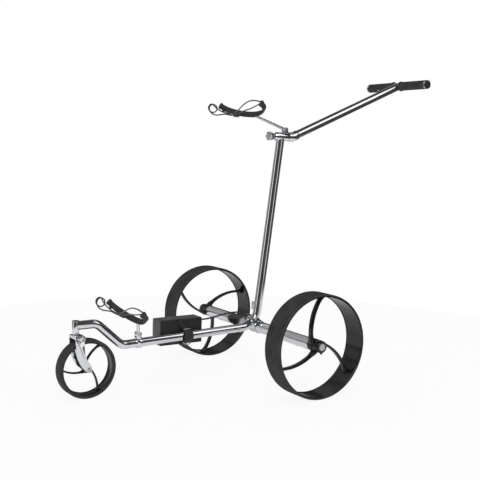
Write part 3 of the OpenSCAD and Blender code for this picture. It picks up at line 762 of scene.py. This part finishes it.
def rounded_copy(node, body, slot, radius, keep=None):
    """Copy of a CAD node's mesh with softened edges, trimmed to the closed shape in keep."""
    source = NODES[node]
    bm = bmesh.new()
    bm.from_mesh(source.data)
    bm.transform(source.matrix_world)
    bmesh.ops.remove_doubles(bm, verts=bm.verts, dist=MERGE_GAP)
    bmesh.ops.dissolve_limit(bm, angle_limit=math.radians(FLAT_DEG), verts=bm.verts, edges=bm.edges)
    mesh = bpy.data.meshes.new(node + "_soft")
    bm.to_mesh(mesh)
    bm.free()
    for polygon in mesh.polygons:
        polygon.use_smooth = True
    mesh.materials.clear()
    piece = add_piece(node + "_soft", mesh, body, slot, [node])
    if keep:
        carve(piece, keep, "INTERSECT")
    edge = piece.modifiers.new("edge", "BEVEL")
    edge.width = radius * MM
    edge.segments = 3
    edge.limit_method = "ANGLE"
    edge.angle_limit = math.radians(EDGE_DEG)
    edge.harden_normals = True


def round_sleeve(name, path, diameters, slot):
    """Handle piece that follows a path with a round section, diameters in millimetres."""
    bm = bmesh.new()
    band(bm, path, ACROSS, [(d * MM, d * MM) for d in diameters], 2)
    add_piece(name, smooth_mesh(name, bm, 40), "handle", slot)


def add_handle_socket():
    """Socket behind the head that the handle tube leaves at an angle, with its dark collar."""
    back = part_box("mast_head")[1].y
    knob = centre("star_knob")
    corner = Vector((0, back + 16.5 * MM, knob.z))
    along = (centre("handle_crossbar") - corner).normalized()
    path = [Vector((0, back + 0.3 * MM, knob.z)), Vector((0, back + 8 * MM, knob.z)), corner,
            corner + along * 8 * MM, corner + along * 14 * MM]
    round_sleeve("handle_socket", path, (28.6, 29, 29, 28.6, 28), "polished_chrome")
    path = [corner + along * d * MM for d in (14.1, 14.8, 17.6, 18.4)]
    round_sleeve("socket_collar", path, (28, 29.6, 29.2, 27.4), "soft_rubber")


# Side outline of a fork leg from the wheel's middle, millimetres, left open at the crown
CROWN_Z = 94
LEG_LINE = [(-40, CROWN_Z), (-40, 58), (-37, 42), (-32, 28), (-25, 15), (-17, 4), (-9, -4), (-3, -6.9),
            (3, -6.9), (7, -4), (8, 1), (6, 8), (0, 17), (-7, 28), (-12, 40), (-14.5, 54), (-15, 70),
            (-13.4, 84), (-13, CROWN_Z)]
PAST_FORK = 60  # further out than any part of the fork
PAST_STEM = 300  # higher than the stem


def fork_outline():
    """Closed shape that holds the crown and only the slim curved legs."""
    wheel = centre("front_tyre")
    line = LEG_LINE + [(PAST_FORK, CROWN_Z), (PAST_FORK, PAST_STEM),
                       (-PAST_FORK, PAST_STEM), (-PAST_FORK, CROWN_Z)]
    bm = bmesh.new()
    loft(bm, [[wheel + Vector((x, y, z)) * MM for y, z in line] for x in (-PAST_FORK, PAST_FORK)])
    bmesh.ops.recalc_face_normals(bm, faces=bm.faces)
    return bm


# ---- elastic cords and cable ---------------------------------------------------------------------

# Elastic cord out to the far tip, where two turns hang, and back: across, outward and normal to the
# arm's plane, millimetres. The part's own cords follow arm ends that curl further round.
CORD_ROUTE = [(105, 61, 5), (88, 68, 5), (62, 69, 4), (34, 63, 2), (4, 53, 0), (-26, 41, -2),
              (-50, 33, -7), (-70, 33, -13), (-90, 41, -15), (-106, 54, -15), (-119, 69, -11),
              (-129, 80, -6), (-134, 83, -14), (-133.5, 79, -24), (-128, 71, -28), (-122, 63, -25),
              (-120.5, 60, -15), (-123, 64, -6), (-129, 72, -3), (-137, 78, -10), (-138, 75, -21),
              (-132, 66, -29), (-120, 55, -30), (-108, 47, -24), (-97, 38, -17), (-84, 28, -14.5),
              (-62, 25, -11), (-36, 26, -4), (-10, 29, 0), (20, 34, 1), (50, 41, 2), (78, 48, 3.5),
              (97, 53, 4.5), (105, 55.5, 5)]
# Battery cable from its gland to the plug, millimetres from the ground under the rear axle's middle
CABLE_ROUTE = [(-40, -183, 179), (-40, -172, 179), (-38, -152, 181), (-35, -130, 185),
               (-33, -107, 189.5), (-30, -84, 193), (-28, -64, 194), (-26.5, -48, 192.5),
               (-26, -38.4, 189), (-26, -30.4, 184)]
CORD_D = 0.004
CABLE_D = 0.0052
SEAT_STEP = 8.5 * MM  # from an arm's seat to the point where its mount is stated


def arm_frame(mount_name):
    """Matrix of a bag arm's own frame: x across the trolley, y outward, z along the band's width."""
    mount = next(m for m in RECORD["mounts"] if m["name"] == mount_name)
    outward = Vector(mount["axis"]).normalized()
    normal = -ACROSS.cross(outward)
    seat = Vector(mount["pos_m"]) - outward * SEAT_STEP
    turn = Matrix((ACROSS, outward, normal)).transposed().to_4x4()
    return Matrix.Translation(seat) @ turn


ARMS = {"upper": arm_frame("upper_bag_cradle"), "lower": arm_frame("lower_bag_cradle")}


def cord_curve(name, points, diameter):
    """Round smooth curve through the points."""
    data = bpy.data.curves.new(name, "CURVE")
    data.dimensions = "3D"
    data.resolution_u = 10
    data.bevel_depth = diameter / 2
    data.bevel_resolution = 4
    data.use_fill_caps = True
    spline = data.splines.new("BEZIER")
    spline.bezier_points.add(len(points) - 1)
    for knot, point in zip(spline.bezier_points, points):
        knot.co = point
        knot.handle_left_type = knot.handle_right_type = "AUTO"
    return data


def curve_length(points):
    """Length of the smooth curve through the points."""
    data = cord_curve("measure", points, 0)
    length = data.splines[0].calc_length()
    bpy.data.curves.remove(data)
    return length


def add_elastic_cord(which):
    """Loose elastic cord of one bag arm."""
    points = [ARMS[which] @ (Vector(p) * MM) for p in CORD_ROUTE]
    body = which + "_bracket"
    data = cord_curve(which + "_elastic", points, CORD_D)
    piece = add_piece(which + "_elastic", data, body, "soft_rubber", [which + "_cord"], BRAID)
    round(curve_length(points), 3)


def add_battery_cable():
    """Lead from the battery's end to the plug at the knee."""
    points = [from_axle(*p) for p in CABLE_ROUTE]
    data = cord_curve("battery_lead", points, CABLE_D)
    piece = add_piece("battery_lead", data, "frame", "soft_rubber", ["battery_cable"])
    round(curve_length(points), 3)


# ---- stage ---------------------------------------------------------------------------------------

FLOOR_R = 1.5
FLOOR_FADE = 0.75  # share of the radius where the fade begins
FLOOR_CLEAR = 0.9  # how clear the floor is where no mirror shows it


def add_floor():
    """Pale floor disc that fades out into the white surround."""
    bm = bmesh.new()
    bmesh.ops.create_circle(bm, cap_ends=True, segments=96, radius=FLOOR_R)
    floor = bpy.data.objects.new("floor", smooth_mesh("floor", bm))
    material = new_material("pale_floor", (0.64, 0.64, 0.64), 0.0, 0.8)
    where = object_coords(material)
    tint(material, noise(material, where, 0.6), grey(0.63), grey(0.65))
    fade_out(material, where, FLOOR_R * FLOOR_FADE, FLOOR_R)
    floor.data.materials.append(material)
    bpy.context.scene.collection.objects.link(floor)


def fade_out(material, where, start, end):
    """Clears a surface between two distances from the origin, and everywhere partly but in mirrors."""
    tree = material.node_tree
    distance = tree.nodes.new("ShaderNodeVectorMath")
    distance.operation = "LENGTH"
    ramp = tree.nodes.new("ShaderNodeMapRange")
    ramp.inputs["From Min"].default_value = start
    ramp.inputs["From Max"].default_value = end
    clear = tree.nodes.new("ShaderNodeBsdfTransparent")
    mix = tree.nodes.new("ShaderNodeMixShader")
    path = tree.nodes.new("ShaderNodeLightPath")
    not_mirrored = math_node(tree, "SUBTRACT", 1, path.outputs["Is Glossy Ray"])
    direct = math_node(tree, "MULTIPLY", not_mirrored, FLOOR_CLEAR)
    tree.links.new(where, distance.inputs[0])
    tree.links.new(distance.outputs["Value"], ramp.inputs["Value"])
    tree.links.new(math_node(tree, "MAXIMUM", ramp.outputs["Result"], direct), mix.inputs["Fac"])
    tree.links.new(tree.nodes["Principled BSDF"].outputs["BSDF"], mix.inputs[1])
    tree.links.new(clear.outputs["BSDF"], mix.inputs[2])
    tree.links.new(mix.outputs["Shader"], tree.nodes["Material Output"].inputs["Surface"])


def add_light(name, place, target, size, power):
    """Rectangular lamp turned to a target."""
    data = bpy.data.lights.new(name, "AREA")
    data.shape = "RECTANGLE"
    data.size, data.size_y = size
    data.energy = power
    light = bpy.data.objects.new(name, data)
    light.location = place
    light.rotation_euler = (Vector(target) - Vector(place)).to_track_quat("-Z", "Y").to_euler()
    light.visible_camera = False
    bpy.context.scene.collection.objects.link(light)


# What mirror-like metal sees round the room: azimuth from +X and elevation in degrees, and brightness
SOFTBOXES = [((-180, -132), (-45, 48), 0.34), ((-132, -102), (-30, 40), 0.12), ((-101, -80), (-25, 28), 1.0),
             ((-14, 6), (-14, 14), 0.12), ((9, 24), (-16, 13), 0.9), ((84, 100), (-14, 10), 0.2),
             ((96, 122), (48, 64), 0.6), ((140, 180), (24, 48), 0.3), ((132, 150), (-20, 12), 0.12)]
ROOM_SHADE = 0.045
SOFT_EDGE = 3.0


def window(tree, angle, low, high):
    """1 where an angle in degrees lies between two limits, with soft edges."""
    rise = math_node(tree, "DIVIDE", math_node(tree, "SUBTRACT", angle, low), SOFT_EDGE)
    fall = math_node(tree, "DIVIDE", math_node(tree, "SUBTRACT", high, angle), SOFT_EDGE)
    both = math_node(tree, "MINIMUM", rise, fall)
    return math_node(tree, "MINIMUM", math_node(tree, "MAXIMUM", both, 0), 1)


def add_sky():
    """Plain white surround; mirror-like metal sees softboxes in a dark room instead."""
    world = bpy.data.worlds.new("studio")
    bpy.context.scene.world = world
    world.use_nodes = True
    tree = world.node_tree
    shade = tree.nodes["Background"]
    coords = tree.nodes.new("ShaderNodeTexCoord")
    split = tree.nodes.new("ShaderNodeSeparateXYZ")
    tree.links.new(coords.outputs["Generated"], split.inputs["Vector"])
    x, y, z = split.outputs
    azimuth = math_node(tree, "DEGREES", math_node(tree, "ARCTAN2", y, x))
    elevation = math_node(tree, "DEGREES", math_node(tree, "ARCSINE", z))
    total = None
    for (left, right), (low, high), power in SOFTBOXES:
        inside = math_node(tree, "MULTIPLY", window(tree, azimuth, left, right),
                           window(tree, elevation, low, high))
        lit = math_node(tree, "MULTIPLY", inside, power)
        total = lit if total is None else math_node(tree, "MAXIMUM", total, lit)
    seen = math_node(tree, "MAXIMUM", total, ROOM_SHADE)
    path = tree.nodes.new("ShaderNodeLightPath")
    mix = tree.nodes.new("ShaderNodeMix")
    tree.links.new(path.outputs["Is Glossy Ray"], mix.inputs["Factor"])
    mix.inputs["A"].default_value = 1
    tree.links.new(seen, mix.inputs["B"])
    tree.links.new(mix.outputs["Result"], shade.inputs["Color"])


add_camera()
add_elastic_cord("upper")
add_elastic_cord("lower")
add_battery_cable()
finish_cad_nodes()
for wheel_side, wheel_phase in (("left", 84.7), ("right", 25.5)):
    add_tyre("tread_" + wheel_side, "tyre_" + wheel_side, wheel_side + "_wheel",
             [x * 12.6 * MM for x in (-2, -1, 0, 1, 2)], 3.8 * MM, 2.6 * MM, (5 * MM, 3.5 * MM))
    add_drive_wheel(wheel_side, "wheel_" + wheel_side, wheel_phase)
add_tyre("nose_tread", "front_tyre", "nose_wheel", [x * 9 * MM for x in (-1, 0, 1)], 2.0 * MM, 1.2 * MM,
         (4 * MM, 6 * MM))
add_front_wheel()
for arm in ARMS:
    add_arm(arm)
add_strap()
add_handle_ends()
add_star_knob()
add_handle_socket()
for cad_node, cad_slot, edge_radius in (("mast_head", "polished_chrome", 0.8),
                                        ("axle_cheeks", "polished_chrome", 0.8),
                                        ("lower_hinge_clamp", "polished_chrome", 0.7),
                                        ("mast_tab", "silver_plastic", 0.8),
                                        ("head_tube", "polished_chrome", 0.8),
                                        ("battery_case", "battery_plastic", 1.6),
                                        ("battery_lid", "battery_plastic", 1.6)):
    rounded_copy(cad_node, "frame", cad_slot, edge_radius)
rounded_copy("fork", "front_fork", "polished_chrome", 1.6, keep=fork_outline())
add_floor()
add_sky()
add_light("key", (2.5, -2.5, 3.5), (0, 0, 0.4), (3, 3), 60)
add_light("side_panel", (1.3, 1.07, 1.92), (0, 0.1, 0.6), (0.8, 1.4), 4.2)
bpy.context.scene.view_settings.view_transform = "Standard"
